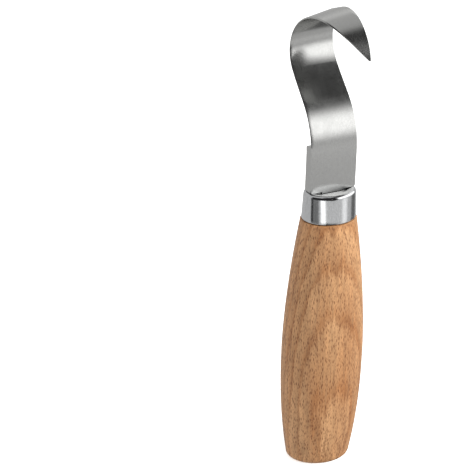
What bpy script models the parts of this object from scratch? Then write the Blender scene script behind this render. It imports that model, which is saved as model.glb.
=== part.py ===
"""Hook knife for hollowing spoons and bowls, right-handed. Metres, +Z up.

The origin is the centre of the flat butt of the handle. +Z runs up the handle towards the
hook, +X is the blade's blunt spine edge and -Y is the side the hook curls forward to.
Four pieces: the forged blade with its tang, the drawn steel ferrule, the turned oval handle
and the epoxy bed that holds the tang in the handle.
"""
import math

import bmesh
import bpy

# ---- handle: an oval barrel with a flat butt ---------------------------------------------
HANDLE_LENGTH = 0.0925        # butt face to the shoulder the ferrule seats on
HANDLE_BELLY_RADIUS = 0.0149  # half width in X at the thickest place
HANDLE_NECK_RADIUS = 0.0102   # half width in X at the ferrule, just proud of it
HANDLE_BUTT_RADIUS = 0.0113   # half width in X at the butt, before its edge is rounded
HANDLE_BELLY_BELOW = 0.0505   # how far below the ferrule the belly lies
HANDLE_FLATTENING = 0.82      # section depth in Y over its width in X
HANDLE_TOP_CURVE = 1.7        # exponent of the swell from the neck down to the belly
HANDLE_BUTT_CURVE = 2.4       # exponent of the taper from the belly down to the butt
BUTT_EDGE_RADIUS = 0.0022

# ---- ferrule: a deep-drawn cap over the end of the handle --------------------------------
FERRULE_HEIGHT = 0.0105
FERRULE_FOOT_RADIUS = 0.0099  # half width in X at the open end
FERRULE_TOP_RADIUS = 0.0096   # half width in X at the top, before the shoulder rounds off
FERRULE_TOP_FLATTENING = 0.745
FERRULE_SHOULDER_RADIUS = 0.0010
FERRULE_INNER_CORNER = 0.0007
FERRULE_WALL = 0.0008

# ---- blade: one strip of steel, tang, shank and hook -------------------------------------
BLADE_WIDTH = 0.0179
BLADE_THICKNESS = 0.0034      # tang and shank
TIP_THICKNESS = 0.0016        # the strip is drawn out thinner from the plunge to the tip
SHANK_LENGTH = 0.0147         # straight, from the ferrule to the first bend
SWEEP_RADIUS = 0.0215         # the first bend, leaning the blade back
SWEEP_ANGLE = math.radians(46.8)
LEAN_LENGTH = 0.0137          # straight, between the two bends
HOOK_RADIUS = 0.0115          # the concave side of the hook, over its crest
HOOK_ANGLE = math.radians(147.4)
TIP_RADIUS = 0.0151           # the wider last stretch down to the tip
TIP_ANGLE = math.radians(66.3)
EDGE_CURVE = 4.2              # exponent by which the cutting edge runs over to the spine
TIP_WIDTH = 0.0009
PLUNGE_HEIGHT = 0.0168        # where the bevel starts, above the ferrule
PLUNGE_LENGTH = 0.0006
BEVEL_WIDTH = 0.0107
BEVEL_TO_SPINE = 0.97         # near the tip the bevel takes this share of the width
EDGE_THICKNESS = 0.0007       # steel left at the cutting edge where the bevel starts
TIP_EDGE_THICKNESS = 0.0004

TANG_LENGTH = 0.0500          # below the top of the ferrule
TANG_WIDTH = 0.0080
TANG_END_WIDTH = 0.0045

# ---- fits ---------------------------------------------------------------------------------
CLEARANCE = 0.0003            # gap left between pieces that bear on each other
WELD_DISTANCE = 0.000001      # coincident points of one mesh, merged
GLUE_WALL = 0.0010            # epoxy between the tang and the wood
GLUE_UNDER_TANG = 0.0020

# ---- mesh fineness ------------------------------------------------------------------------
ROUND_STEPS = 64
HANDLE_RINGS = 26
CORNER_STEPS = 5
BLADE_STEP = 0.0019           # longest facet along the blade's bends
SMOOTH_BELOW = math.radians(35)

# ---- places and sizes that follow from those above ----------------------------------------
FERRULE_TOP = HANDLE_LENGTH + FERRULE_HEIGHT
SPIGOT_TOP = FERRULE_TOP - FERRULE_WALL - CLEARANCE
SPIGOT_INSET = FERRULE_WALL + CLEARANCE / FERRULE_TOP_FLATTENING
SPIGOT_CORNER = FERRULE_INNER_CORNER + CLEARANCE
BLADE_FOOT = FERRULE_TOP + CLEARANCE
TANG_END = FERRULE_TOP - TANG_LENGTH
GLUE_BOTTOM = TANG_END - CLEARANCE - GLUE_UNDER_TANG
POCKET_BOTTOM = GLUE_BOTTOM - CLEARANCE
GLUE_GROWTH = 2 * (CLEARANCE + GLUE_WALL)      # how much wider the glue is than the tang
POCKET_GROWTH = GLUE_GROWTH + 2 * CLEARANCE

# The strip's stretches above the ferrule, each a length and the angle it turns through;
# a positive angle leans the blade back towards +Y.
STRETCHES = (
    (SHANK_LENGTH, 0.0),
    (SWEEP_RADIUS * SWEEP_ANGLE, SWEEP_ANGLE),
    (LEAN_LENGTH, 0.0),
    (HOOK_RADIUS * HOOK_ANGLE, -HOOK_ANGLE),
    (TIP_RADIUS * TIP_ANGLE, -TIP_ANGLE),
)
STRIP_LENGTH = sum(length for length, turn in STRETCHES)


def clear_scene():
    for obj in list(bpy.data.objects):
        bpy.data.objects.remove(obj, do_unlink=True)


def make_material(name, colour, metallic, roughness):
    material = bpy.data.materials.new(name)
    material.use_nodes = True
    shader = material.node_tree.nodes["Principled BSDF"]
    shader.inputs["Base Color"].default_value = (*colour, 1.0)
    shader.inputs["Metallic"].default_value = metallic
    shader.inputs["Roughness"].default_value = roughness
    material.diffuse_color = (*colour, 1.0)
    return material


def make_object(name, bm, material=None):
    """Turn a bmesh into a named object, faces out, smooth across shallow edges."""
    bmesh.ops.recalc_face_normals(bm, faces=bm.faces)
    mesh = bpy.data.meshes.new(name)
    bm.to_mesh(mesh)
    bm.free()
    mesh.shade_smooth()
    mesh.set_sharp_from_angle(angle=SMOOTH_BELOW)
    obj = bpy.data.objects.new(name, mesh)
    bpy.context.scene.collection.objects.link(obj)
    if material:
        mesh.materials.append(material)
    return obj


def cut_with(obj, cutter):
    """Subtract a cutter, which stays in the file as a hidden wire guide."""
    cutter.hide_render = True
    cutter.display_type = "WIRE"
    modifier = obj.modifiers.new("cut " + cutter.name, "BOOLEAN")
    modifier.operation = "DIFFERENCE"
    modifier.solver = "EXACT"
    modifier.object = cutter


def turned(profile, flattening):
    """Spin a closed-off (radius, height) profile about Z, then press it oval in Y."""
    bm = bmesh.new()
    chain = [bm.verts.new((radius, 0.0, height)) for radius, height in profile]
    edges = [bm.edges.new(pair) for pair in zip(chain, chain[1:])]
    bmesh.ops.spin(bm, geom=chain + edges, axis=(0, 0, 1), cent=(0, 0, 0),
                   angle=math.tau, steps=ROUND_STEPS, use_merge=True)
    bmesh.ops.remove_doubles(bm, verts=bm.verts, dist=WELD_DISTANCE)
    for vert in bm.verts:
        vert.co.y *= flattening(vert.co.z)
    return bm


def corner_arc(centre_radius, centre_height, radius, start, end):
    """(radius, height) points along a rounded corner, both ends included."""
    points = []
    for step in range(CORNER_STEPS + 1):
        angle = start + (end - start) * step / CORNER_STEPS
        points.append((centre_radius + radius * math.cos(angle),
                       centre_height + radius * math.sin(angle)))
    return points


# ---- handle -------------------------------------------------------------------------------
def handle_radius(height):
    """Half width of the barrel in X at a height above the butt."""
    belly = HANDLE_LENGTH - HANDLE_BELLY_BELOW
    if height > belly:
        fall = HANDLE_BELLY_RADIUS - HANDLE_NECK_RADIUS
        return HANDLE_BELLY_RADIUS - fall * ((height - belly) / HANDLE_BELLY_BELOW) ** HANDLE_TOP_CURVE
    fall = HANDLE_BELLY_RADIUS - HANDLE_BUTT_RADIUS
    return HANDLE_BELLY_RADIUS - fall * ((belly - height) / belly) ** HANDLE_BUTT_CURVE


def ferrule_flattening(height):
    """The section is as oval as the handle at its foot and flatter towards the top."""
    share = min(max((height - HANDLE_LENGTH) / FERRULE_HEIGHT, 0.0), 1.0)
    return HANDLE_FLATTENING + (FERRULE_TOP_FLATTENING - HANDLE_FLATTENING) * share


def ferrule_radius(height, inset=0.0):
    """Half width in X of the cap's wall at a height, or of a skin inside it."""
    share = (height - HANDLE_LENGTH) / FERRULE_HEIGHT
    return FERRULE_FOOT_RADIUS + (FERRULE_TOP_RADIUS - FERRULE_FOOT_RADIUS) * share - inset


def handle_profile():
    rounded = BUTT_EDGE_RADIUS
    profile = [(0.0, 0.0)]
    profile += corner_arc(handle_radius(rounded) - rounded, rounded, rounded, -math.pi / 2, 0.0)
    for ring in range(1, HANDLE_RINGS + 1):
        height = rounded + (HANDLE_LENGTH - rounded) * ring / HANDLE_RINGS
        profile.append((handle_radius(height), height))
    profile.append((ferrule_radius(HANDLE_LENGTH, SPIGOT_INSET), HANDLE_LENGTH))
    below = SPIGOT_TOP - SPIGOT_CORNER
    profile += corner_arc(ferrule_radius(below, SPIGOT_INSET) - SPIGOT_CORNER, below, SPIGOT_CORNER,
                          0.0, math.pi / 2)
    profile.append((0.0, SPIGOT_TOP))
    return profile


def oblong(name, length, breadth, bottom, top, material=None):
    """An upright slot cutter or plug with round ends, long in X."""
    bm = bmesh.new()
    end_radius = breadth / 2
    reach = length / 2 - end_radius
    outline = []
    for side, start in ((1, -math.pi / 2), (-1, math.pi / 2)):
        for step in range(2 * CORNER_STEPS + 1):
            angle = start + math.pi * step / (2 * CORNER_STEPS)
            outline.append(bm.verts.new((side * reach + end_radius * math.cos(angle),
                                         end_radius * math.sin(angle), bottom)))
    face = bm.faces.new(outline)
    grown = bmesh.ops.extrude_face_region(bm, geom=[face])
    top_verts = [item for item in grown["geom"] if isinstance(item, bmesh.types.BMVert)]
    bmesh.ops.translate(bm, vec=(0, 0, top - bottom), verts=top_verts)
    return make_object(name, bm, material)


def build_handle(material):
    handle = make_object("handle", turned(handle_profile(), ferrule_flattening), material)
    cut_with(handle, oblong("tang_pocket_cutter", TANG_WIDTH + POCKET_GROWTH,
                            BLADE_THICKNESS + POCKET_GROWTH, POCKET_BOTTOM, FERRULE_TOP))
    return handle


# ---- ferrule ------------------------------------------------------------------------------
def ferrule_profile():
    """Down the outside from the top, round the open end and up the cavity."""
    foot = HANDLE_LENGTH + CLEARANCE
    shoulder = FERRULE_TOP - FERRULE_SHOULDER_RADIUS
    profile = [(0.0, FERRULE_TOP)]
    profile += corner_arc(ferrule_radius(shoulder, FERRULE_SHOULDER_RADIUS), shoulder,
                          FERRULE_SHOULDER_RADIUS, math.pi / 2, 0.0)
    profile.append((ferrule_radius(foot), foot))
    profile.append((ferrule_radius(foot, FERRULE_WALL), foot))
    ceiling = FERRULE_TOP - FERRULE_WALL
    below = ceiling - FERRULE_INNER_CORNER
    profile += corner_arc(ferrule_radius(below, FERRULE_WALL + FERRULE_INNER_CORNER), below,
                          FERRULE_INNER_CORNER, 0.0, math.pi / 2)
    profile.append((0.0, ceiling))
    return profile


def build_ferrule(material):
    ferrule = make_object("ferrule", turned(ferrule_profile(), ferrule_flattening), material)
    cut_with(ferrule, tang_block("tang_slot_cutter", CLEARANCE, SPIGOT_TOP, BLADE_FOOT))
    return ferrule


# ---- blade --------------------------------------------------------------------------------
def strip_point(along, depth):
    """(y, z) of a point of the strip, by its way along it and its depth below the hollow face."""
    y, z, lean = -BLADE_THICKNESS / 2, BLADE_FOOT, 0.0
    for length, turn in STRETCHES:
        run = min(along, length)
        if turn:
            radius = length / turn
            next_lean = lean + run / radius
            y += radius * (math.cos(lean) - math.cos(next_lean))
            z += radius * (math.sin(next_lean) - math.sin(lean))
            lean = next_lean
        else:
            y += run * math.sin(lean)
            z += run * math.cos(lean)
        along -= run
    return y + depth * math.cos(lean), z - depth * math.sin(lean)


def ground_thickness(along, at_plunge, at_tip):
    """A thickness that is the full bar up to the plunge and then falls evenly to the tip."""
    if along <= PLUNGE_HEIGHT:
        return BLADE_THICKNESS
    plunge = min((along - PLUNGE_HEIGHT) / PLUNGE_LENGTH, 1.0)
    run_out = (along - PLUNGE_HEIGHT) / (STRIP_LENGTH - PLUNGE_HEIGHT)
    ground = at_plunge + (at_tip - at_plunge) * run_out
    return BLADE_THICKNESS + (ground - BLADE_THICKNESS) * plunge


def blade_section(bm, along):
    """Closed loop across the strip: flat hollow face, spine, back and the bevel behind the edge."""
    spine = BLADE_WIDTH / 2
    edge = (BLADE_WIDTH - TIP_WIDTH) * (along / STRIP_LENGTH) ** EDGE_CURVE - spine
    width = spine - edge
    at_edge = ground_thickness(along, EDGE_THICKNESS, TIP_EDGE_THICKNESS)
    at_back = ground_thickness(along, BLADE_THICKNESS, TIP_THICKNESS)
    bevel = min(BEVEL_WIDTH, BEVEL_TO_SPINE * width)

    def depth(across):
        return at_edge + (at_back - at_edge) * min(across / BEVEL_WIDTH, 1.0)

    corners = ((edge, 0.0), (spine, 0.0), (spine, depth(width)), (edge + bevel, depth(bevel)),
               (edge, at_edge))
    return [bm.verts.new((x, *strip_point(along, below))) for x, below in corners]


def tang_section(bm, width, height, grow=0.0):
    """The same five-cornered loop on the straight, rectangular tang."""
    half, deep = width / 2 + grow, BLADE_THICKNESS / 2 + grow
    corners = ((-half, -deep), (half, -deep), (half, deep), (0.0, deep), (-half, deep))
    return [bm.verts.new((x, y, height)) for x, y in corners]


def skin(bm, loops):
    """Join a stack of loops with quads and close both ends."""
    for lower, upper in zip(loops, loops[1:]):
        for corner in range(len(lower)):
            after = (corner + 1) % len(lower)
            bm.faces.new((lower[corner], lower[after], upper[after], upper[corner]))
    bm.faces.new(reversed(loops[0]))
    bm.faces.new(loops[-1])


def tang_block(name, grow, bottom, top):
    """Cutter for what the tang passes through: the tang's own taper, grown by a clearance."""
    bm = bmesh.new()
    skin(bm, [tang_section(bm, tang_width(height), height, grow) for height in (bottom, top)])
    return make_object(name, bm)


def tang_width(height):
    share = min((FERRULE_TOP - height) / TANG_LENGTH, 1.0)
    return TANG_WIDTH + (TANG_END_WIDTH - TANG_WIDTH) * max(share, 0.0)


def build_blade(material):
    bm = bmesh.new()
    stations = [0.0]
    reached = 0.0
    for length, turn in STRETCHES:
        steps = max(1, round(length / BLADE_STEP)) if turn else 1
        stations += [reached + length * (step + 1) / steps for step in range(steps)]
        reached += length
    stations += [PLUNGE_HEIGHT, PLUNGE_HEIGHT + PLUNGE_LENGTH]
    stations = sorted(set(stations))
    loops = [tang_section(bm, TANG_END_WIDTH, TANG_END), tang_section(bm, TANG_WIDTH, BLADE_FOOT)]
    loops += [blade_section(bm, along) for along in stations]
    skin(bm, loops)
    return make_object("blade", bm, material)


# ---- epoxy bed ----------------------------------------------------------------------------
def build_adhesive(material):
    glue = oblong("tang_adhesive", TANG_WIDTH + GLUE_GROWTH, BLADE_THICKNESS + GLUE_GROWTH,
                  GLUE_BOTTOM, SPIGOT_TOP, material)
    cut_with(glue, tang_block("tang_in_glue_cutter", CLEARANCE, TANG_END - CLEARANCE, FERRULE_TOP))
    return glue


def main():
    clear_scene()
    steel = make_material("ground_tool_steel", (0.56, 0.56, 0.55), 1.0, 0.28)
    stainless = make_material("drawn_stainless_steel", (0.66, 0.66, 0.66), 1.0, 0.20)
    beech = make_material("oiled_beech", (0.56, 0.31, 0.16), 0.0, 0.45)
    epoxy = make_material("cured_epoxy", (0.62, 0.56, 0.38), 0.0, 0.35)
    root = bpy.data.objects.new("hook_knife_root", None)
    bpy.context.scene.collection.objects.link(root)
    for piece in (build_blade(steel), build_ferrule(stainless), build_handle(beech),
                  build_adhesive(epoxy)):
        piece.parent = root


main()
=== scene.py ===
"""Hook knife for hollowing spoons and bowls: the finished look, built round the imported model.

Metres, +Z up from the flat butt of the handle to the hook. +X is the blade's blunt spine and
-Y the side the hook curls forward to. Every size and colour that a maker would change is a
property with its default; each piece has its own operator, and so has the studio.
"""

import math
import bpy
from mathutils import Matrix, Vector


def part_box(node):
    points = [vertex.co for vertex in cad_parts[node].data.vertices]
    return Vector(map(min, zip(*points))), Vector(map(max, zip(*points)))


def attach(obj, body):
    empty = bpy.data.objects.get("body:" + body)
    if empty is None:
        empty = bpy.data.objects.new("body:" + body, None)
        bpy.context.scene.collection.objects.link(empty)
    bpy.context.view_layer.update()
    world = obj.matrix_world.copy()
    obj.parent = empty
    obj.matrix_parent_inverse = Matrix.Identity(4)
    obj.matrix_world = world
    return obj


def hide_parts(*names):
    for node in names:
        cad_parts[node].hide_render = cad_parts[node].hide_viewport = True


bl_info = {
    "name": "Hook knife",
    "version": (1, 0, 0),
    "blender": (4, 5, 0),
    "location": "View3D > Sidebar > Hook Knife",
    "description": "Builds a spoon carver's hook knife: forged blade, drawn ferrule, turned beech handle",
    "category": "Add Mesh",
}

import bmesh
import bpy
from bpy.props import FloatProperty, FloatVectorProperty, PointerProperty
from mathutils import Matrix, Vector

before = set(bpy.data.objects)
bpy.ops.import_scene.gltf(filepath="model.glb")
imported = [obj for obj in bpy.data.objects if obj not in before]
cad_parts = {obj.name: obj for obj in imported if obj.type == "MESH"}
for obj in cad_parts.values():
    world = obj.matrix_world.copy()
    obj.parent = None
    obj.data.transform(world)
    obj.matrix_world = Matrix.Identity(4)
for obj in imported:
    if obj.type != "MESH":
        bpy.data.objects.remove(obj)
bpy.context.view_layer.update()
BLADE_LOW, BLADE_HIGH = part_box("blade")
FERRULE_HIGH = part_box("ferrule")[1]
HANDLE_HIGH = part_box("handle")[1]

MM = 0.001
FIT_GAP = 0.3 * MM          # left between pieces that bear on each other
WELD = 0.001 * MM           # points of one mesh closer than this are one point
SHADE_SHARP = math.radians(35)
TURN_STEPS = 128            # round a turned piece


# ---- sizes and colours ---------------------------------------------------------------------
def linear(code):
    """An sRGB hex colour, such as #C39468, as linear red, green and blue."""
    parts = [int(code.lstrip("#")[at:at + 2], 16) / 255 for at in (0, 2, 4)]
    return tuple(part / 12.92 if part <= 0.04045 else ((part + 0.055) / 1.055) ** 2.4
                 for part in parts)


def length(name, description, millimetres):
    """A length property whose default is given in millimetres."""
    return FloatProperty(name=name, description=description, default=millimetres * MM,
                         min=0.0, soft_max=0.3, precision=5, subtype="DISTANCE", unit="LENGTH")


def turn(name, description, degrees):
    return FloatProperty(name=name, description=description, default=math.radians(degrees),
                         min=0.0, max=math.tau, subtype="ANGLE", unit="ROTATION")


def colour(name, description, code):
    return FloatVectorProperty(name=name, description=description, default=linear(code),
                               size=3, min=0.0, max=1.0, subtype="COLOR")


def share(name, description, value, highest=1.0):
    return FloatProperty(name=name, description=description, default=value, min=0.0,
                         max=highest, subtype="FACTOR")


class BladeSettings(bpy.types.PropertyGroup):
    """One strip of tool steel: tang, shank, sweep, hook and tip."""
    width: length("Width", "Across the strip, from the cutting edge to the spine",
                  (BLADE_HIGH.x - BLADE_LOW.x) / MM)
    thickness: length("Thickness", "Of the tang and the shank", 3.4)
    tip_thickness: length("Tip thickness", "Of the spine at the tip", 1.6)
    shank: length("Shank", "Straight, from the ferrule to the first bend", 14.0)
    sweep_radius: length("Sweep radius", "Of the first bend, which leans the blade back", 23.2)
    sweep_angle: turn("Sweep angle", "How far the first bend leans the blade back", 47.2)
    lean: length("Lean", "Straight, between the two bends", 12.5)
    hook_radius: length("Hook radius", "Of the hollow side of the hook, over its crest", 11.35)
    hook_angle: turn("Hook angle", "How far the hook curls forward over its crest", 150.9)
    tip_radius: length("Tip radius", "Of the wider last stretch, down to the tip", 16.4)
    tip_angle: turn("Tip angle", "How far the last stretch curls", 60.0)
    bend_blend: length("Bend blend", "How far each bend eases into the straight beside it", 3.6)
    hook_skew: length("Hook skew", "How much sooner the hook starts at the spine", 1.0)
    tip_width: length("Tip width", "Left across the strip at the very tip", 0.5)
    edge_curve: FloatProperty(name="Edge curve", default=5.0, min=1.0, max=12.0,
                              description="How late the cutting edge runs over to the spine")
    bevel_width: length("Bevel width", "Ground behind the cutting edge, on the outer face", 10.7)
    edge_thickness: length("Edge thickness", "Behind the honed strip where the bevel starts", 0.7)
    tip_edge_thickness: length("Tip edge thickness", "Behind the honed strip at the tip", 0.4)
    plunge: length("Plunge", "Height of the step above the ferrule where the bevel starts", 16.8)
    plunge_run: length("Plunge run", "Length of that step", 0.6)
    honed_width: length("Honed width", "Of the fine second bevel along the cutting edge", 0.32)
    stropped: length("Stropped", "How far stropping rounds the hollow face back at the edge", 0.045)
    honed_edge: length("Honed edge", "Steel left at the cutting edge", 0.14)
    foot_corner: length("Foot corner", "Radius of the shank's two lower corners", 0.7)
    arris: length("Arris", "Width taken off the shank's and spine's long corners", 0.2)
    tang_length: length("Tang length", "Below the top of the ferrule", 50.0)
    tang_width: length("Tang width", "At the shoulders", 8.0)
    tang_end_width: length("Tang end width", "At the lower end", 4.5)
    steel: colour("Steel", "Ground and polished tool steel", "#BBBBB9")


class FerruleSettings(bpy.types.PropertyGroup):
    """A deep-drawn oval cap over the end of the handle."""
    height: length("Height", "From the handle's shoulder to the flat top", 10.5)
    foot_radius: length("Foot radius", "Half width in X at the open end", FERRULE_HIGH.x / MM)
    top_radius: length("Top radius", "Half width in X at the top, before the shoulder", 9.6)
    top_flattening: share("Top flattening", "Depth over width at the top", 0.745)
    shoulder: length("Shoulder", "Radius between the wall and the top", 1.35)
    lip: length("Lip", "Radius of the wall's lower outer corner", 0.25)
    dish: length("Dish", "How far the top sinks from its rim to the slot", 0.7)
    wall: length("Wall", "Thickness of the drawn sheet", 0.8)
    inner_corner: length("Inner corner", "Radius inside the top", 0.7)
    steel: colour("Steel", "Drawn and polished stainless steel", "#D0D1D2")


class HandleSettings(bpy.types.PropertyGroup):
    """An oval barrel of oiled beech with a flat butt."""
    length: length("Length", "From the butt to the shoulder the ferrule seats on", 92.5)
    belly_radius: length("Belly radius", "Half width in X at the thickest place",
                         HANDLE_HIGH.x / MM)
    neck_radius: length("Neck radius", "Half width in X at the ferrule", 10.2)
    butt_radius: length("Butt radius", "Half width in X at the butt", 11.3)
    belly_below: length("Belly below", "How far the belly lies below the ferrule", 50.5)
    flattening: share("Flattening", "Depth over width", 0.82)
    top_curve: FloatProperty(name="Top curve", default=1.7, min=1.0, max=6.0,
                             description="How late the neck narrows above the belly")
    butt_curve: FloatProperty(name="Butt curve", default=2.4, min=1.0, max=6.0,
                              description="How late the barrel narrows below the belly")
    butt_edge: length("Butt edge", "Radius of the butt's edge", 2.2)
    shoulder_edge: length("Shoulder edge", "Softened edge under the ferrule", 0.35)
    ring_spacing: length("Ring spacing", "A year's growth", 3.1)
    fleck_length: length("Fleck length", "Of the short brown ray ends", 1.9)
    fleck_width: length("Fleck width", "Of the short brown ray ends", 0.24)
    light_wood: colour("Light wood", "Early growth, oiled", "#CF9E6F")
    dark_wood: colour("Dark wood", "Late growth, oiled", "#A66E40")
    rays: colour("Rays", "The ray ends that fleck beech", "#6E3F20")
    epoxy: colour("Epoxy", "The cured bed round the tang", "#D9C78F")


class StudioSettings(bpy.types.PropertyGroup):
    """Pale floor, even light and the camera."""
    floor_radius: length("Floor radius", "Of the flat floor, before it sweeps up", 3500.0)
    cove_radius: length("Cove radius", "Of the sweep from the floor up into the wall", 1500.0)
    wall_height: length("Wall height", "Of the pale wall all round, above the floor", 6000.0)
    floor: colour("Floor", "Matt white sweep", "#F4F4F3")
    daylight: FloatProperty(name="Daylight", default=0.76, min=0.0, max=10.0,
                            description="Strength of the even white surround")
    lens: FloatProperty(name="Lens", default=229.8, min=10.0, max=500.0, subtype="DISTANCE_CAMERA",
                        description="Focal length of the camera, in millimetres")
    camera_distance: length("Camera distance", "From the ferrule", 1034.5)
    camera_turn: turn("Camera turn", "Round from the front to the cutting edge side", 30.5)
    camera_height: turn("Camera height", "Above the horizon", 24.5)
    camera_roll: turn("Camera roll", "How far the knife leans clockwise", 2.85)


# ---- shared making -------------------------------------------------------------------------
def finish_piece(name, bm, material, node):
    """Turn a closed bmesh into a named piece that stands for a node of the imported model."""
    mesh = bpy.data.meshes.new(name)
    bm.to_mesh(mesh)
    bm.free()
    piece = bpy.data.objects.new(name, mesh)
    bpy.context.scene.collection.objects.link(piece)
    mesh.materials.append(material)
    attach(piece, "root")
    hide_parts(node)
    return piece


def corner_arc(radius_at, height_at, radius, start, end, steps):
    """(radius, height) points along a rounded corner, both ends included."""
    return [(radius_at + radius * math.cos(start + (end - start) * step / steps),
             height_at + radius * math.sin(start + (end - start) * step / steps))
            for step in range(steps + 1)]


def turned(profile, flattening):
    """Spin an open (radius, height) profile about Z, then press it oval in Y."""
    bm = bmesh.new()
    chain = [bm.verts.new((radius, 0.0, height)) for radius, height in profile]
    edges = [bm.edges.new(pair) for pair in zip(chain, chain[1:])]
    bmesh.ops.spin(bm, geom=chain + edges, axis=(0, 0, 1), cent=(0, 0, 0),
                   angle=math.tau, steps=TURN_STEPS, use_merge=True)
    bmesh.ops.remove_doubles(bm, verts=bm.verts, dist=WELD)
    for vert in bm.verts:
        vert.co.y *= flattening(vert.co.z)
    return bm


def rim(bm, height):
    """The open edges that lie at a height."""
    return [edge for edge in bm.edges if edge.is_boundary
            and all(abs(vert.co.z - height) < WELD for vert in edge.verts)]


SLOT_SEGMENTS = 4           # round each corner of an oblong opening


def slot_rim(bm, size_x, size_y, corner, height):
    """The edges of an oblong opening with rounded corners, lying level at a height."""
    made = bmesh.ops.create_grid(bm, x_segments=1, y_segments=1, size=0.5)["verts"]
    bmesh.ops.scale(bm, vec=(size_x, size_y, 1.0), verts=made)
    bmesh.ops.translate(bm, vec=(0, 0, height), verts=made)
    bmesh.ops.bevel(bm, geom=made, offset=corner, segments=SLOT_SEGMENTS, profile=0.5,
                    affect="VERTICES", material=-1)
    oblong = next(face for face in bm.faces if len(face.verts) > 3 * SLOT_SEGMENTS)
    edges = list(oblong.edges)
    bmesh.ops.delete(bm, geom=[oblong], context="FACES_ONLY")
    return edges


def close_shell(bm):
    """Turn a closed shell's faces outwards and shade them smooth."""
    bmesh.ops.recalc_face_normals(bm, faces=bm.faces)
    if bm.calc_volume(signed=True) < 0:
        bmesh.ops.reverse_faces(bm, faces=bm.faces)
    for face in bm.faces:
        face.smooth = True


def close_turned(bm):
    """Weld a turned piece, close it and crease its sharp corners."""
    bmesh.ops.remove_doubles(bm, verts=bm.verts, dist=WELD)
    close_shell(bm)
    for edge in bm.edges:
        edge.smooth = edge.calc_face_angle(0.0) < SHADE_SHARP


# ---- materials: shared ---------------------------------------------------------------------
def feed(tree, made, inputs):
    """Set each input of a node to a value, or link it when it is given a socket."""
    for name, value in inputs.items():
        if isinstance(value, bpy.types.NodeSocket):
            tree.links.new(value, made.inputs[name])
        else:
            made.inputs[name].default_value = value


def node(tree, kind, inputs=None, **settings):
    """Add a shader node with its settings and inputs."""
    made = tree.nodes.new(kind)
    for name, value in settings.items():
        setattr(made, name, value)
    feed(tree, made, inputs or {})
    return made


def blank_material(name):
    """An empty material, its node tree and a Principled shader joined to the output."""
    material = bpy.data.materials.new(name)
    material.use_nodes = True
    tree = material.node_tree
    tree.nodes.clear()
    shader = node(tree, "ShaderNodeBsdfPrincipled")
    node(tree, "ShaderNodeOutputMaterial", {"Surface": shader.outputs["BSDF"]})
    return material, tree, shader


def stretched(tree, place, period):
    """Object coordinates counted in periods, given in metres along X, Y and Z."""
    return node(tree, "ShaderNodeVectorMath",
                {0: place, 1: tuple(1 / size for size in period)}, operation="MULTIPLY").outputs[0]


def ground_tool_steel(blade):
    """Carbon tool steel, forged, belt-ground, then polished lengthwise on a felt wheel.

    To the eye: a satin mirror. It throws back the lights and dark places round it as soft-edged
    bands across the bends, with hair-fine lines running along the strip.
    """
    material, tree, shader = blank_material("ground_and_polished_tool_steel")
    place = node(tree, "ShaderNodeTexCoord").outputs["Object"]
    # Polishing lines: about 0.05 mm apart in fact, drawn 0.25 mm apart across the strip so that
    # they show, and long in Y and Z, which are the strip's own direction.
    lines = node(tree, "ShaderNodeTexNoise",
                 {"Vector": stretched(tree, place, (0.25 * MM, 16 * MM, 16 * MM)), "Scale": 1.0,
                  "Detail": 3.0, "Roughness": 0.6})
    # The cloudy unevenness that a felt wheel leaves, patches of about 3 mm.
    clouds = node(tree, "ShaderNodeTexNoise",
                  {"Vector": stretched(tree, place, (3 * MM, 3 * MM, 3 * MM)), "Scale": 1.0,
                   "Detail": 4.0, "Roughness": 0.65})
    # Grinding grit: pits of 0.5 mm, the finest that can show.
    grit = node(tree, "ShaderNodeTexNoise",
                {"Vector": stretched(tree, place, (0.5 * MM, 0.5 * MM, 0.7 * MM)), "Scale": 1.0,
                 "Detail": 2.0, "Roughness": 0.5})
    marks = node(tree, "ShaderNodeMath",
                 {0: lines.outputs["Fac"], 1: 0.3, 2: grit.outputs["Fac"]},
                 operation="MULTIPLY_ADD")
    tone = node(tree, "ShaderNodeMapRange",
                {"Value": marks.outputs[0], "From Min": 0.4, "From Max": 0.9, "To Min": 0.95,
                 "To Max": 1.05})
    steel = node(tree, "ShaderNodeVectorMath",
                 {0: tuple(blade.steel), "Scale": tone.outputs["Result"]}, operation="SCALE")
    satin = node(tree, "ShaderNodeMapRange",
                 {"Value": clouds.outputs["Fac"], "From Min": 0.3, "From Max": 0.7,
                  "To Min": 0.17, "To Max": 0.23})
    relief = node(tree, "ShaderNodeBump",
                  {"Height": lines.outputs["Fac"], "Strength": 0.2, "Distance": 0.004 * MM})
    feed(tree, shader, {"Base Color": steel.outputs[0], "Metallic": 1.0,
                        "Roughness": satin.outputs["Result"], "Normal": relief.outputs["Normal"]})
    return material


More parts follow.
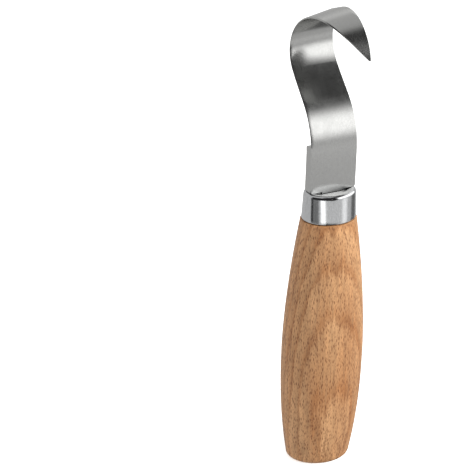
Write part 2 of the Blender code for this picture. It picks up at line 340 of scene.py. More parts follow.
def drawn_stainless_steel(ferrule):
    """Stainless sheet, deep-drawn over a punch and tumbled bright.

    To the eye: brighter and smoother than the blade, with faint upright draw lines and a few
    soft scuffs, so its reflections break up a little.
    """
    material, tree, shader = blank_material("drawn_stainless_steel")
    place = node(tree, "ShaderNodeTexCoord").outputs["Object"]
    # Draw lines run up the wall, about 0.2 mm apart.
    lines = node(tree, "ShaderNodeTexNoise",
                 {"Vector": stretched(tree, place, (0.2 * MM, 0.2 * MM, 9 * MM)), "Scale": 1.0,
                  "Detail": 2.0, "Roughness": 0.5})
    # Scuffs from tumbling, 0.7 mm across.
    scuffs = node(tree, "ShaderNodeTexNoise",
                  {"Vector": stretched(tree, place, (0.7 * MM, 0.7 * MM, 0.9 * MM)), "Scale": 1.0,
                   "Detail": 3.0, "Roughness": 0.6})
    marks = node(tree, "ShaderNodeMath", {0: lines.outputs["Fac"], 1: scuffs.outputs["Fac"]},
                 operation="ADD")
    tone = node(tree, "ShaderNodeMapRange",
                {"Value": marks.outputs[0], "From Min": 0.7, "From Max": 1.3, "To Min": 0.86,
                 "To Max": 1.08})
    steel = node(tree, "ShaderNodeVectorMath",
                 {0: tuple(ferrule.steel), "Scale": tone.outputs["Result"]}, operation="SCALE")
    gloss = node(tree, "ShaderNodeMapRange",
                 {"Value": scuffs.outputs["Fac"], "From Min": 0.3, "From Max": 0.7,
                  "To Min": 0.10, "To Max": 0.18})
    relief = node(tree, "ShaderNodeBump",
                  {"Height": marks.outputs[0], "Strength": 0.3, "Distance": 0.006 * MM})
    feed(tree, shader, {"Base Color": steel.outputs[0], "Metallic": 1.0,
                        "Roughness": gloss.outputs["Result"], "Normal": relief.outputs["Normal"]})
    return material


# How deep the colour of a growth ring is, from one spring to the next: at its two ends, then at
# shares of the year between them.
GREY_OF_SPRING = (0.15,) * 3
GREY_OF_WINTER = (0.25,) * 3
YEAR = ((0.1, 0.0), (0.62, 0.3), (0.86, 1.0))
RING_FRAY = 0.8             # of a year, by which the fibres fray the rings
RING_DEPTH = 0.6            # share of the rings in the change from light wood to dark
FLECKS = ((1.0, 0.0, 0.85), (0.62, 7.3, 0.55))     # size, shift in cells and strength


def oiled_beech(handle):
    """Plain-sawn beech, turned, sanded fine and oiled.

    To the eye: warm tan with soft cathedral arches where the barrel cuts the growth rings, a
    close sprinkling of short brown ray flecks along the grain, and a silky, not glossy, skin.
    """
    material, tree, shader = blank_material("oiled_beech")
    place = node(tree, "ShaderNodeTexCoord").outputs["Object"]
    # Growth rings: the heart of the tree runs nearly upright, 70 mm behind the handle, and leans
    # so that the arches point up the handle.
    wander = node(tree, "ShaderNodeTexNoise",
                  {"Vector": stretched(tree, place, (14 * MM, 14 * MM, 45 * MM)), "Scale": 1.0,
                   "Detail": 2.0, "Roughness": 0.5})
    shift = node(tree, "ShaderNodeVectorMath",
                 {0: wander.outputs["Color"], 1: (-0.5, -0.5, -0.5)}, operation="ADD")
    swayed = node(tree, "ShaderNodeVectorMath",
                  {0: shift.outputs[0], 1: (3.0 * MM, 5.0 * MM, 0.0), 2: place},
                  operation="MULTIPLY_ADD")
    about_heart = node(tree, "ShaderNodeMapping",
                       {"Vector": swayed.outputs[0], "Location": (-1.0 * MM, -70 * MM, 0.0),
                        "Rotation": (math.radians(-5.0), 0.0, 0.0)})
    level = node(tree, "ShaderNodeVectorMath",
                 {0: about_heart.outputs[0], 1: (1.0, 1.0, 0.0)}, operation="MULTIPLY")
    radius = node(tree, "ShaderNodeVectorMath", {0: level.outputs[0]}, operation="LENGTH")
    year = node(tree, "ShaderNodeMath",
                {0: radius.outputs["Value"], 1: handle.ring_spacing}, operation="DIVIDE")
    # Fibres: bundles 1.3 mm across and about 20 mm long, down to single ones of 0.1 mm. They
    # fray the edges of the rings.
    fibre = node(tree, "ShaderNodeTexNoise",
                 {"Vector": stretched(tree, place, (1.3 * MM, 1.3 * MM, 20 * MM)), "Scale": 1.0,
                  "Detail": 4.0, "Roughness": 0.75})
    frayed = node(tree, "ShaderNodeMath",
                  {0: fibre.outputs["Fac"], 1: RING_FRAY, 2: year.outputs[0]},
                  operation="MULTIPLY_ADD")
    season = node(tree, "ShaderNodeMath", {0: frayed.outputs[0]}, operation="FRACT")
    late = node(tree, "ShaderNodeValToRGB", {"Fac": season.outputs[0]})
    stops = late.color_ramp.elements
    stops[0].color, stops[1].color = (*GREY_OF_SPRING, 1), (*GREY_OF_WINTER, 1)
    for at, value in YEAR:
        stops.new(at).color = (value, value, value, 1)
    # Slow change of colour through the block, patches of about 10 by 50 mm.
    drift = node(tree, "ShaderNodeTexNoise",
                 {"Vector": stretched(tree, place, (10 * MM, 10 * MM, 50 * MM)), "Scale": 1.0,
                  "Detail": 2.0, "Roughness": 0.5})
    late_share = node(tree, "ShaderNodeMath", {0: late.outputs["Color"], 1: RING_DEPTH},
                      operation="MULTIPLY")
    drift_share = node(tree, "ShaderNodeMapRange",
                       {"Value": drift.outputs["Fac"], "From Min": 0.3, "From Max": 0.7,
                        "To Min": -0.1, "To Max": 0.5})
    depth = node(tree, "ShaderNodeMath",
                 {0: late_share.outputs[0], 1: drift_share.outputs["Result"]}, operation="ADD")
    wood = node(tree, "ShaderNodeMix",
                {0: depth.outputs[0], 6: (*handle.light_wood, 1), 7: (*handle.dark_wood, 1)},
                data_type="RGBA")
    fibre_tone = node(tree, "ShaderNodeMapRange",
                      {"Value": fibre.outputs["Fac"], "From Min": 0.3, "From Max": 0.7,
                       "To Min": 0.68, "To Max": 1.22})
    streaked = node(tree, "ShaderNodeVectorMath",
                    {0: wood.outputs[2], "Scale": fibre_tone.outputs["Result"]}, operation="SCALE")
    # Ray ends: short brown dashes along the grain, in two sizes, one in each cell of the wood.
    masks = []
    for size, seed, strength in FLECKS:
        cell = (2.1 * handle.fleck_width * size, 2.3 * handle.fleck_width * size,
                1.25 * handle.fleck_length * size)
        moved = node(tree, "ShaderNodeVectorMath",
                     {0: stretched(tree, place, cell), 1: (seed, seed, seed)}, operation="ADD")
        cells = node(tree, "ShaderNodeTexVoronoi",
                     {"Vector": moved.outputs[0], "Scale": 1.0})
        masks.append(node(tree, "ShaderNodeMapRange",
                          {"Value": cells.outputs["Distance"], "From Min": 0.38, "From Max": 0.18,
                           "To Min": 0.0, "To Max": strength}))
    flecks = node(tree, "ShaderNodeMath",
                  {0: masks[0].outputs["Result"], 1: masks[1].outputs["Result"]},
                  operation="MAXIMUM")
    flecked = node(tree, "ShaderNodeMix",
                   {0: flecks.outputs[0], 6: streaked.outputs[0], 7: (*handle.rays, 1)},
                   data_type="RGBA")
    # End grain drinks more oil and goes darker at the butt.
    upright = node(tree, "ShaderNodeSeparateXYZ",
                   {0: node(tree, "ShaderNodeNewGeometry").outputs["Normal"]})
    end_grain = node(tree, "ShaderNodeMapRange",
                     {"Value": upright.outputs["Z"], "From Min": -0.55, "From Max": -0.95,
                      "To Min": 1.0, "To Max": 0.72})
    finished = node(tree, "ShaderNodeVectorMath",
                    {0: flecked.outputs[2], "Scale": end_grain.outputs["Result"]},
                    operation="SCALE")
    pores = node(tree, "ShaderNodeMath",
                 {0: fibre.outputs["Fac"], 1: flecks.outputs[0]}, operation="SUBTRACT")
    relief = node(tree, "ShaderNodeBump",
                  {"Height": pores.outputs[0], "Strength": 0.35, "Distance": 0.05 * MM})
    dull = node(tree, "ShaderNodeMapRange",
                {"Value": fibre.outputs["Fac"], "From Min": 0.3, "From Max": 0.7,
                 "To Min": 0.46, "To Max": 0.56})
    feed(tree, shader, {"Base Color": finished.outputs[0], "Roughness": dull.outputs["Result"],
                        "IOR": 1.5, "Normal": relief.outputs["Normal"]})
    return material


def cured_epoxy(handle):
    """Two-part epoxy, poured round the tang and left to set.

    To the eye: amber and glassy with a few trapped bubbles.
    """
    material, tree, shader = blank_material("cured_epoxy")
    place = node(tree, "ShaderNodeTexCoord").outputs["Object"]
    # Bubbles of about 0.4 mm, 1.5 mm apart.
    bubbles = node(tree, "ShaderNodeTexVoronoi",
                   {"Vector": stretched(tree, place, (1.5 * MM,) * 3), "Scale": 1.0})
    pale = node(tree, "ShaderNodeMapRange",
                {"Value": bubbles.outputs["Distance"], "From Min": 0.12, "From Max": 0.18,
                 "To Min": 1.15, "To Max": 1.0})
    tint = node(tree, "ShaderNodeVectorMath",
                {0: tuple(handle.epoxy), "Scale": pale.outputs["Result"]}, operation="SCALE")
    dimple = node(tree, "ShaderNodeBump",
                  {"Height": bubbles.outputs["Distance"], "Strength": 0.2, "Distance": 0.1 * MM})
    feed(tree, shader, {"Base Color": tint.outputs[0], "Roughness": 0.22, "IOR": 1.55,
                        "Normal": dimple.outputs["Normal"]})
    return material


# ---- blade ---------------------------------------------------------------------------------
BLADE_FOOT = FERRULE_HIGH.z + FIT_GAP     # the strip is measured from here
FOOT_DROP = 0.25 * MM                     # the shoulders stop this far below, just off the cap
BEND_STEP = 0.45 * MM                     # length of a facet round the bends
STRAIGHT_STEP = 4 * MM                    # and along the straights
PLUNGE_STEPS = 6
PLUNGE_MARGIN = 0.15 * MM                 # kept clear of other rows above and below the plunge
PATH_STEP = 0.3 * MM                      # of the sums that follow the bends
PATHS_ACROSS = 9                          # places across the strip where they are summed
EASE_SAMPLES = 8                          # over which the lean is averaged where a bend eases
SKEW_REACH = 9 * MM                       # half the length over which the hook's start is skewed
SKEW_RETURN = 0.8                         # share of the skew that the spine then lags by
CORNER_STEPS = 4                          # up each of the shank's two lower corners
EDGE_ARRIS = 0.25                         # share of the arris left on the front of the edge
ARRIS_SEGMENTS = 3
BEVEL_TO_SPINE = 0.97                     # share of the width that the bevel takes at the tip
TIP_HONING = 0.8                          # share of the honed edge's thickness left at the tip
BEVEL_COLUMNS = (0.12, 0.25, 0.38), (0.62, 0.74, 0.87)      # left and right of the tang's side
BACK_COLUMNS = 1.2, 1.66, 1.83            # shares of the flat behind the bevel, plus one


def stretches(blade):
    """The strip's stretches above the ferrule: a length and the angle it turns back through."""
    return ((blade.shank, 0.0), (blade.sweep_radius * blade.sweep_angle, blade.sweep_angle),
            (blade.lean, 0.0), (blade.hook_radius * blade.hook_angle, -blade.hook_angle),
            (blade.tip_radius * blade.tip_angle, -blade.tip_angle))


def strip_length(blade):
    return sum(run for run, angle in stretches(blade))


def lean_at(blade, along):
    """How far the strip leans back at a way along it, before its bends are eased."""
    lean = 0.0
    for run, angle in stretches(blade)[:-1]:
        lean += angle * min(max(along / run, 0.0), 1.0)
        along -= run
    run, angle = stretches(blade)[-1]
    return lean + angle * max(along / run, 0.0)


def hook_shift(blade, along, x):
    """How much sooner the strip starts into the hook here than it does at the cutting edge.

    The bend was hammered a little askew: its start runs down from the edge to the spine. Past
    the start the spine lags instead, so that both sides come level again at the crest.
    """
    start = blade.shank + blade.sweep_radius * blade.sweep_angle + blade.lean
    reach = (along - start) / SKEW_REACH
    if not -0.5 < reach < 1.5:
        return 0.0
    wave = math.cos(math.pi * reach)
    wave *= 1.0 if wave > 0 else SKEW_RETURN
    across = x / blade.width + 0.5
    return blade.hook_skew * wave * across * (2 - across)


def eased_lean(blade, along, x):
    """The lean with bends that ease into the straights, and the skew where the hook starts."""
    along += hook_shift(blade, along, x)
    samples = [lean_at(blade, along + blade.bend_blend * (2 * step / EASE_SAMPLES - 1))
               for step in range(EASE_SAMPLES + 1)]
    return sum(samples) / len(samples)


def strip_paths(blade):
    """The bent line of the hollow face at a few places across: {x: [(y, z, lean), ...]}."""
    paths = {}
    for place in range(PATHS_ACROSS):
        x = blade.width * (place / (PATHS_ACROSS - 1) - 0.5)
        y, z, path = -blade.thickness / 2, BLADE_FOOT, []
        for step in range(math.ceil(strip_length(blade) / PATH_STEP) + 2):
            path.append((y, z, eased_lean(blade, step * PATH_STEP, x)))
            middle = eased_lean(blade, (step + 0.5) * PATH_STEP, x)
            y += PATH_STEP * math.sin(middle)
            z += PATH_STEP * math.cos(middle)
        paths[x] = path
    return paths


def bent(blade, paths, x, along, below):
    """(y, z) of a point by its place across and along the strip and its depth under the face."""
    if along <= 0:
        return -blade.thickness / 2 + below, BLADE_FOOT + along
    keys = list(paths)
    last = PATHS_ACROSS - 1.001           # just inside the last path
    across = min(max((x / blade.width + 0.5) * (PATHS_ACROSS - 1), 0.0), last)
    step = along / PATH_STEP
    left, before = int(across), int(step)
    found = []
    for item in range(3):
        rows = [paths[keys[left + side]][before][item] * (1 - step + before)
                + paths[keys[left + side]][before + 1][item] * (step - before)
                for side in (0, 1)]
        found.append(rows[0] + (rows[1] - rows[0]) * (across - left))
    y, z, lean = found
    return y + below * math.cos(lean), z - below * math.sin(lean)


def ground(blade, along, at_plunge, at_tip):
    """A thickness: the full bar up to the plunge, a curved step down, then an even taper."""
    if along <= blade.plunge:
        return blade.thickness
    step = min((along - blade.plunge) / blade.plunge_run, 1.0)
    step = step * step * (3 - 2 * step)
    run_out = (along - blade.plunge) / (strip_length(blade) - blade.plunge)
    after = at_plunge + (at_tip - at_plunge) * run_out
    return blade.thickness + (after - blade.thickness) * step


def forge(blade, paths, column, along, at_back):
    """Where a point of the flat blank goes. Columns 0 to 1 cross the bevel, 1 to 2 the rest."""
    spine = blade.width / 2
    total = strip_length(blade)
    edge = (blade.width - blade.tip_width) * (max(along, 0.0) / total) ** blade.edge_curve - spine
    span = spine - edge
    bevel = min(blade.bevel_width, BEVEL_TO_SPINE * span)
    across = bevel * column if column <= 1 else bevel + (span - bevel) * (column - 1)
    x = edge + across
    short = blade.foot_corner - along - FOOT_DROP
    if short > 0 and column in (0.0, 2.0):                  # rounded lower corners
        inset = blade.foot_corner - math.sqrt(max(blade.foot_corner ** 2 - short ** 2, 0.0))
        x += inset if column == 0.0 else -inset
    below = 0.0
    if at_back:
        at_edge = ground(blade, along, blade.edge_thickness, blade.tip_edge_thickness)
        at_spine = ground(blade, along, blade.thickness, blade.tip_thickness)
        below = at_edge + (at_spine - at_edge) * min(across / blade.bevel_width, 1.0)
        if column == 0.0:
            below = ground(blade, along, blade.honed_edge, blade.honed_edge * TIP_HONING)
    elif column == 0.0 and along > blade.plunge:
        below = blade.stropped
    return (x, *bent(blade, paths, x, along, below))


def blade_stations(blade):
    """How far along the strip each row of points lies: close together round the bends."""
    rows = [-FOOT_DROP + blade.foot_corner * (1 - math.cos(math.pi / 2 * step / CORNER_STEPS))
            for step in range(CORNER_STEPS + 1)]
    reached = 0.0
    for run, angle in stretches(blade):
        steps = max(1, round(run / (BEND_STEP if angle else STRAIGHT_STEP)))
        rows += [reached + run * (step + 1) / steps for step in range(steps)]
        reached += run
    plunge = [blade.plunge + blade.plunge_run * step / PLUNGE_STEPS
              for step in range(PLUNGE_STEPS + 1)]
    clear = [row for row in rows
             if row < plunge[0] - PLUNGE_MARGIN or row > plunge[-1] + PLUNGE_MARGIN]
    return sorted(clear + plunge)


def blade_mesh(blade):
    """A flat grid grown to a slab and a tang, then forged: each point moved to its place."""
    tang_left = (blade.width / 2 - blade.tang_width / 2) / blade.bevel_width
    beyond = blade.width - blade.bevel_width
    tang_right = 1 + (blade.width / 2 + blade.tang_width / 2 - blade.bevel_width) / beyond
    honed = blade.honed_width / blade.bevel_width
    columns = (0.0, honed, *BEVEL_COLUMNS[0], tang_left, *BEVEL_COLUMNS[1], 1.0, BACK_COLUMNS[0],
               tang_right, *BACK_COLUMNS[1:], 2.0)
    rows = blade_stations(blade)
    bm = bmesh.new()
    across, up = len(columns) - 1, len(rows) - 1
    made = bmesh.ops.create_grid(bm, x_segments=across, y_segments=up, size=0.5)["verts"]
    for vert in made:
        vert.co = (columns[round((vert.co.x + 0.5) * across)],
                   rows[round((vert.co.y + 0.5) * up)], 0.0)
    grown = bmesh.ops.extrude_face_region(bm, geom=bm.faces[:])["geom"]
    bmesh.ops.translate(bm, vec=(0, 0, 1),
                        verts=[item for item in grown if isinstance(item, bmesh.types.BMVert)])
    foot = [face for face in bm.faces
            if all(abs(vert.co.y - rows[0]) < WELD for vert in face.verts)
            and tang_left < face.calc_center_median().x < tang_right]
    grown = bmesh.ops.extrude_face_region(bm, geom=foot)["geom"]
    tang_end = FERRULE_HIGH.z - blade.tang_length - BLADE_FOOT
    tang_verts = {item for item in grown if isinstance(item, bmesh.types.BMVert)}
    bmesh.ops.delete(bm, geom=[face for face in foot if face.is_valid], context="FACES")
    for vert in tang_verts:
        vert.co.y = tang_end

    weight = bm.edges.layers.float.new("bevel_weight_edge")
    for edge in bm.edges:
        first, second = (vert.co for vert in edge.verts)
        if first.z != second.z:
            continue
        low, high = min(first.y, second.y), max(first.y, second.y)
        ends = {first.x, second.x}
        if ends == {2.0} or (ends == {0.0} and high <= blade.plunge + WELD):
            edge[weight] = 1.0
        elif ends == {0.0} and first.z == 0.0:
            edge[weight] = EDGE_ARRIS
        elif low == high == rows[0] and len(edge.link_faces) == 2:
            middle = (first.x + second.x) / 2
            if not tang_left < middle < tang_right:
                edge[weight] = 1.0
    paths = strip_paths(blade)
    ridges = {edge for edge in bm.edges
              if all(vert.co.z == 1.0 and vert.co.y >= blade.plunge for vert in edge.verts)
              and any(all(abs(vert.co.x - column) < WELD for vert in edge.verts)
                      for column in (honed, 1.0))}

    for vert in bm.verts:
        column, along, at_back = vert.co
        column = min(columns, key=lambda known: abs(known - column))
        if vert in tang_verts:
            x, y, z = forge(blade, paths, column, rows[0], at_back > 0.5)
            vert.co = (x * blade.tang_end_width / blade.tang_width, y, BLADE_FOOT + tang_end)
        else:
            vert.co = forge(blade, paths, column, along, at_back > 0.5)
    close_shell(bm)
    for edge in bm.edges:
        sharp = edge.calc_face_angle(0.0) > SHADE_SHARP and edge[weight] == 0.0
        edge.smooth = not (sharp or edge in ridges)
    return bm


class KNIFE_OT_blade(bpy.types.Operator):
    """Forge the blade: tang, shank, sweep, hook and tip in one strip"""
    bl_idname = "hook_knife.blade"
    bl_label = "Blade"

    def execute(self, context):
        blade = context.scene.hook_knife_blade
        piece = finish_piece("carving_blade", blade_mesh(blade), ground_tool_steel(blade),
                             "blade")
        arris = piece.modifiers.new("softened arrises", "BEVEL")
        arris.limit_method = "WEIGHT"
        arris.width = blade.arris
        arris.segments = ARRIS_SEGMENTS
        arris.harden_normals = True
        return {"FINISHED"}


# ---- ferrule -------------------------------------------------------------------------------
WALL_RINGS = 6
SLOT_CORNER = 0.4 * MM
CEILING_DISH = 0.2 * MM                   # how far the ceiling sinks to the slot


def section_flattening(handle, ferrule, height):
    """Depth over width: the handle's up to the ferrule, then flatter towards its top."""
    up = min(max((height - handle.length) / ferrule.height, 0.0), 1.0)
    return handle.flattening + (ferrule.top_flattening - handle.flattening) * up


def ferrule_radius(handle, ferrule, height, inset=0.0):
    up = (height - handle.length) / ferrule.height
    return ferrule.foot_radius + (ferrule.top_radius - ferrule.foot_radius) * up - inset


def ferrule_mesh(handle, ferrule, blade):
    """Spin the drawn wall, then close the top round the slot the tang comes through."""
    foot = handle.length + FIT_GAP
    top = handle.length + ferrule.height
    shoulder = top - ferrule.shoulder
    slot_x, slot_y = blade.tang_width + 2 * FIT_GAP, blade.thickness + 2 * FIT_GAP

    def outer(height, inset=0.0):
        return ferrule_radius(handle, ferrule, height, inset)

    plate_rim = outer(shoulder, ferrule.shoulder)
    profile = corner_arc(plate_rim, shoulder, ferrule.shoulder, math.pi / 2, 0.0, 10)
    lip_top = foot + ferrule.lip
    rings = [lip_top + (shoulder - lip_top) * ring / WALL_RINGS
             for ring in range(WALL_RINGS - 1, 0, -1)]
    profile += [(outer(height), height) for height in rings]
    profile += corner_arc(outer(foot, ferrule.lip), lip_top, ferrule.lip, 0.0, -math.pi / 2, 4)
    profile.append((outer(foot, ferrule.wall), foot))
    ceiling = top - ferrule.wall
    below = ceiling - ferrule.inner_corner
    profile += corner_arc(outer(below, ferrule.wall + ferrule.inner_corner), below,
                          ferrule.inner_corner, 0.0, math.pi / 2, 5)
    bm = turned(profile, lambda height: section_flattening(handle, ferrule, height))
    slots = []
    for level, sunk in ((top, ferrule.dish), (ceiling, CEILING_DISH)):
        outside = rim(bm, level)
        inside = slot_rim(bm, slot_x, slot_y, SLOT_CORNER, level - sunk)
        bmesh.ops.bridge_loops(bm, edges=outside + inside)
        slots += inside
    bmesh.ops.bridge_loops(bm, edges=slots)
    close_turned(bm)
    return bm


class KNIFE_OT_ferrule(bpy.types.Operator):
    """Draw the oval ferrule and pierce its top for the tang"""
    bl_idname = "hook_knife.ferrule"
    bl_label = "Ferrule"

    def execute(self, context):
        scene = context.scene
        bm = ferrule_mesh(scene.hook_knife_handle, scene.hook_knife_ferrule,
                          scene.hook_knife_blade)
        finish_piece("drawn_ferrule", bm, drawn_stainless_steel(scene.hook_knife_ferrule),
                     "ferrule")
        return {"FINISHED"}


# ---- handle --------------------------------------------------------------------------------
GLUE_WALL = 1.0 * MM
GLUE_UNDER_TANG = 2.0 * MM
POCKET_ROUND = 0.49                       # radius of the pocket's corners, over its depth
BUTT_RINGS = 8
BARREL_RINGS = 90


def handle_radius(handle, height):
    """Half width of the barrel in X at a height above the butt."""
    belly = handle.length - handle.belly_below
    if height > belly:
        fall = handle.belly_radius - handle.neck_radius
        away = (height - belly) / handle.belly_below
        return handle.belly_radius - fall * away ** handle.top_curve
    fall = handle.belly_radius - handle.butt_radius
    return handle.belly_radius - fall * ((belly - height) / belly) ** handle.butt_curve


def handle_mesh(handle, ferrule, blade):
    """Turn the barrel and its spigot, then sink the pocket for the tang."""
    edge, top = handle.butt_edge, handle.length - handle.shoulder_edge
    profile = [(0.0, 0.0)]
    flat = handle_radius(handle, edge) - edge
    profile += [(flat * ring / BUTT_RINGS, 0.0) for ring in range(1, BUTT_RINGS)]
    profile += corner_arc(flat, edge, edge, -math.pi / 2, 0.0, 12)
    rings = [edge + (top - edge) * ring / BARREL_RINGS for ring in range(1, BARREL_RINGS + 1)]
    profile += [(handle_radius(handle, height), height) for height in rings]
    profile += corner_arc(handle_radius(handle, top) - handle.shoulder_edge, top,
                          handle.shoulder_edge, 0.0, math.pi / 2, 5)[1:]
    inset = ferrule.wall + FIT_GAP / ferrule.top_flattening
    spigot_top = handle.length + ferrule.height - ferrule.wall - FIT_GAP
    corner = ferrule.inner_corner + FIT_GAP
    below = spigot_top - corner
    profile.append((ferrule_radius(handle, ferrule, handle.length, inset), handle.length))
    profile += corner_arc(ferrule_radius(handle, ferrule, below, inset) - corner, below, corner,
                          0.0, math.pi / 2, 5)
    bm = turned(profile, lambda height: section_flattening(handle, ferrule, height))
    grown = 2 * (2 * FIT_GAP + GLUE_WALL)
    pocket_x, pocket_y = blade.tang_width + grown, blade.thickness + grown
    tang_end = handle.length + ferrule.height - blade.tang_length
    pocket_end = tang_end - 2 * FIT_GAP - GLUE_UNDER_TANG
    outside = rim(bm, spigot_top)
    inside = slot_rim(bm, pocket_x, pocket_y, pocket_y * POCKET_ROUND, spigot_top)
    bmesh.ops.bridge_loops(bm, edges=outside + inside)
    sunk = bmesh.ops.extrude_edge_only(bm, edges=inside)["geom"]
    bmesh.ops.translate(bm, vec=(0, 0, pocket_end - spigot_top),
                        verts=[item for item in sunk if isinstance(item, bmesh.types.BMVert)])
    bmesh.ops.edgeloop_fill(bm, edges=[item for item in sunk
                                       if isinstance(item, bmesh.types.BMEdge)
                                       and item.is_boundary])
    close_turned(bm)
    return bm


class KNIFE_OT_handle(bpy.types.Operator):
    """Turn the oval beech handle with its spigot and tang pocket"""
    bl_idname = "hook_knife.handle"
    bl_label = "Handle"

    def execute(self, context):
        scene = context.scene
        bm = handle_mesh(scene.hook_knife_handle, scene.hook_knife_ferrule,
                         scene.hook_knife_blade)
        finish_piece("turned_handle", bm, oiled_beech(scene.hook_knife_handle),
                     "handle")
        return {"FINISHED"}


class KNIFE_OT_adhesive(bpy.types.Operator):
    """Give the epoxy bed round the tang its material; its shape is already right"""
    bl_idname = "hook_knife.adhesive"
    bl_label = "Adhesive"

    def execute(self, context):
        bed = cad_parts["tang_adhesive"]
        bed.data.materials.clear()
        bed.data.materials.append(cured_epoxy(context.scene.hook_knife_handle))
        return {"FINISHED"}


# ---- studio --------------------------------------------------------------------------------
AIM_HEIGHT = 92.5 * MM                    # what the camera turns about and the cards face
AIM_LEFT = 32.24 * MM                     # the camera looks this far beside that,
AIM_BELOW = 6.45 * MM                     # and this far under it
FLOOR_GLOW = 0.6

# Soft cards round the knife that only the polished steel mirrors. Each has the direction of its
# middle, in degrees round from the front (-Y) towards the spine (+X) and up from level, its
# half sizes in degrees, its brightness and the shares of its half sizes that fade out at its
# borders. A later card covers an earlier one.
CARDS = (
    ("dark_above_key", 62, 54, 62, 19, 0.05, 0.2, 0.3),
    ("dark_below", 60, -76, 80, 34, 0.13, 0.3, 0.4),
    ("dark_behind_camera", -50, 22, 40, 36, 0.03, 0.3, 0.3),
    ("dark_beside_camera", -1, 10, 24, 66, 0.03, 0.12, 0.35),
    ("key_softbox", 63, 22, 43, 30, 2.05, 0.12, 0.8),
    ("bright_above_spine", 125, 42, 42, 22, 0.9, 0.6, 0.6),
    ("grey_strip_front", 5, -15, 32, 9, 0.74, 0.3, 0.3),
    ("dark_strip_left", -64, -19, 18, 14, 0.22, 0.3, 0.3),
    ("black_strip_left", -83, -6, 8, 27, 0.04, 0.5, 0.3),
    ("white_strip_camera", -30, -15, 12, 10, 1.8, 0.4, 0.3),
    ("bright_strip_right", 46, -17, 15, 9, 1.25, 0.7, 0.4),
    ("dark_strip_right", 94, -18, 22, 14, 0.17, 0.6, 0.4),
)
TIP_CARD = ("dark_before_tip", 2.5, 17, 12.5, 25, 0.03, 0.3, 0.1)
TIP_CARD_DISTANCE = 0.138                 # near, so that only the tip mirrors it
CARD_DISTANCE = 1.8
CARD_STEP = 0.05                          # each card hangs this much nearer than the last
TENT_RADIUS = 3.0                         # of the even light that the steel mirrors elsewhere
TENT_BRIGHTNESS = 0.6

# The soft lights: direction in degrees as for the cards, distance and size in metres, and watts.
LIGHTS = (
    ("key_light", 44, 34, 1.2, 0.5, 13.0),
    ("fill_light", -75, 30, 1.4, 0.8, 0.4),
)
LIGHTS_AIM_HEIGHT = 80 * MM
COVE_SEGMENTS = 96
COVE_STEPS = 8


def only_mirrored(obj):
    """Let nothing but glossy reflections see a card."""
    for ray in ("camera", "diffuse", "transmission", "volume_scatter", "shadow"):
        setattr(obj, "visible_" + ray, False)


def stage_object(name, bm, material):
    mesh = bpy.data.meshes.new(name)
    bm.to_mesh(mesh)
    bm.free()
    obj = bpy.data.objects.new(name, mesh)
    bpy.context.scene.collection.objects.link(obj)
    mesh.materials.append(material)
    return obj


def direction(around, up):
    """Unit vector to a place round the knife: degrees from the front, and above level."""
    around, up = math.radians(around), math.radians(up)
    return Vector((math.sin(around) * math.cos(up), -math.cos(around) * math.cos(up),
                   math.sin(up)))


def glow_material(name, brightness, fades=None):
    """An evenly lit card whose borders fade out over shares of its half sizes."""
    material = bpy.data.materials.new(name)
    material.use_nodes = True
    tree = material.node_tree
    tree.nodes.clear()
    glow = node(tree, "ShaderNodeEmission", {"Strength": brightness})
    surface = glow.outputs[0]
    if fades:
        spot = node(tree, "ShaderNodeTexCoord").outputs["UV"]
        centred = node(tree, "ShaderNodeVectorMath", {0: spot, 1: (2, 2, 0), 2: (-1, -1, 0)},
                       operation="MULTIPLY_ADD")
        sides = node(tree, "ShaderNodeVectorMath", {0: centred.outputs[0]}, operation="ABSOLUTE")
        parts = node(tree, "ShaderNodeSeparateXYZ", {0: sides.outputs[0]})
        masks = [node(tree, "ShaderNodeMapRange",
                      {"Value": parts.outputs[axis], "From Min": 1.0, "From Max": 1.0 - fade,
                       "To Min": 0.0, "To Max": 1.0}, interpolation_type="SMOOTHSTEP")
                 for axis, fade in zip(("X", "Y"), fades)]
        mask = node(tree, "ShaderNodeMath",
                    {0: masks[0].outputs["Result"], 1: masks[1].outputs["Result"]},
                    operation="MULTIPLY")
        clear = node(tree, "ShaderNodeBsdfTransparent")
        surface = node(tree, "ShaderNodeMixShader",
                       {0: mask.outputs[0], 1: clear.outputs[0], 2: surface}).outputs[0]
    node(tree, "ShaderNodeOutputMaterial", {"Surface": surface})
    material.cycles.emission_sampling = "NONE"
    return material


def make_card(distance, name, around, up, half_around, half_up, brightness, *fades):
    """A flat card, square on to the knife at a distance in metres."""
    bm = bmesh.new()
    bm.loops.layers.uv.new("card")
    made = bmesh.ops.create_grid(bm, x_segments=1, y_segments=1, size=1.0, calc_uvs=True)["verts"]
    out = direction(around, up)
    across = Vector((0, 0, 1)).cross(out).normalized()
    rise = out.cross(across)
    size_across = distance * math.tan(math.radians(half_around)) * math.cos(math.radians(up))
    size_up = distance * math.tan(math.radians(half_up))
    centre = Vector((0, 0, AIM_HEIGHT)) + out * distance
    for vert in made:
        vert.co = centre + across * (vert.co.x * size_across) + rise * (vert.co.y * size_up)
    only_mirrored(stage_object(name, bm, glow_material(name, brightness, fades)))


def make_light(name, around, up, distance, size, power):
    """A soft area light aimed at the knife; the steel mirrors the cards instead of it."""
    lamp = bpy.data.lights.new(name, "AREA")
    lamp.shape = "SQUARE"
    lamp.size = size
    lamp.energy = power
    light = bpy.data.objects.new(name, lamp)
    bpy.context.scene.collection.objects.link(light)
    out = direction(around, up)
    light.location = Vector((0, 0, LIGHTS_AIM_HEIGHT)) + out * distance
    light.rotation_mode = "QUATERNION"
    light.rotation_quaternion = out.to_track_quat("Z", "Y")
    light.visible_glossy = False


